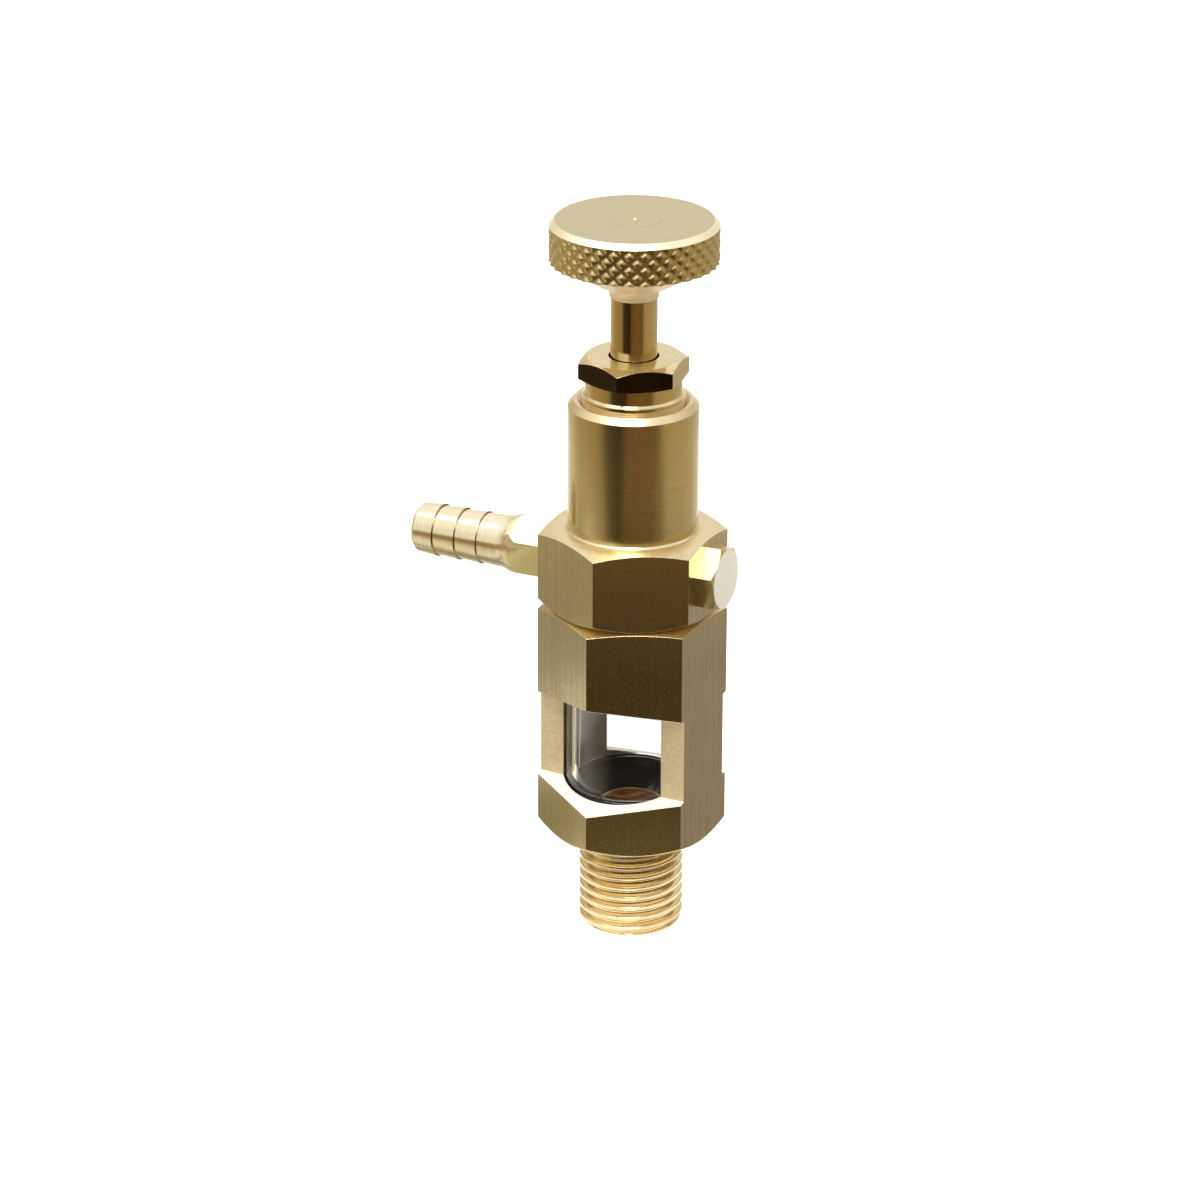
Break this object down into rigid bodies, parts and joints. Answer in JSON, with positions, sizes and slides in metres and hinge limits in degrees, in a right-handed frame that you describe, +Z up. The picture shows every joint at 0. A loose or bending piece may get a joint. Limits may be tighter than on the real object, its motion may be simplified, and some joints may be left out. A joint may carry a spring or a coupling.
{
  "type": "sight-feed drip lubricant applicator",
  "caption": "Brass needle-valve drip oiler: knurled knob on a spindle, gland nut, hex body with hose nipple and plug, windowed hex housing with glass tube, threaded outlet stub.",
  "frame": {"origin": "centre of the outlet stub's lower end face, where the outlet bore opens", "axes": "+Z up along the spindle towards the knob, -X along the hose nipple, +X towards the side plug, windows facing -Y and +Y"},
  "size_m": [0.0452, 0.0254, 0.1],
  "materials": {
    "housing_brass": "brushed bar stock with milled windows",
    "body_brass": "brushed hex, satin turned cylinder",
    "knob_brass": "fine turned face, diamond knurled rim",
    "spindle_brass": "polished",
    "nut_brass": "polished",
    "nipple_brass": "bright turned",
    "plug_brass": "bright turned",
    "nozzle_brass": "turned",
    "washer_brass": "stamped",
    "sight_glass": "clear",
    "gasket_rubber": "moulded",
    "seal_rubber": "moulded",
    "packing_rubber": "moulded",
    "spring_steel": "drawn wire"
  },
  "bodies": {
    "body": {"sight_housing": "housing_brass", "lower_gasket": "gasket_rubber", "sight_glass": "sight_glass", "upper_gasket": "gasket_rubber", "upper_body": "body_brass", "drip_nozzle": "nozzle_brass", "packing_washer": "washer_brass", "gland_packing": "packing_rubber", "gland_nut": "nut_brass", "inlet_nipple": "nipple_brass", "nipple_seal": "seal_rubber", "side_plug": "plug_brass", "plug_seal": "seal_rubber", "spindle_spring": "spring_steel"},
    "spring_seat": {"thrust_washer": "washer_brass"},
    "spindle": {"needle_spindle": "spindle_brass", "knurled_knob": "knob_brass"}
  },
  "joints": [
    {"name": "spindle_lift", "type": "slide", "parent": "body", "child": "spring_seat", "axis": [0, 0, 1], "range_m": [0, 0.00225], "deforming": ["spindle_spring"]},
    {"name": "knob_turn", "type": "hinge", "parent": "spring_seat", "child": "spindle", "pos_m": [0, 0, 0.095], "axis": [0, 0, 1], "range_deg": [0, 1081]}
  ],
  "couplings": [
    {"joint": "knob_turn", "follows": "spindle_lift", "rad_per_m": 8377.6}
  ]
}
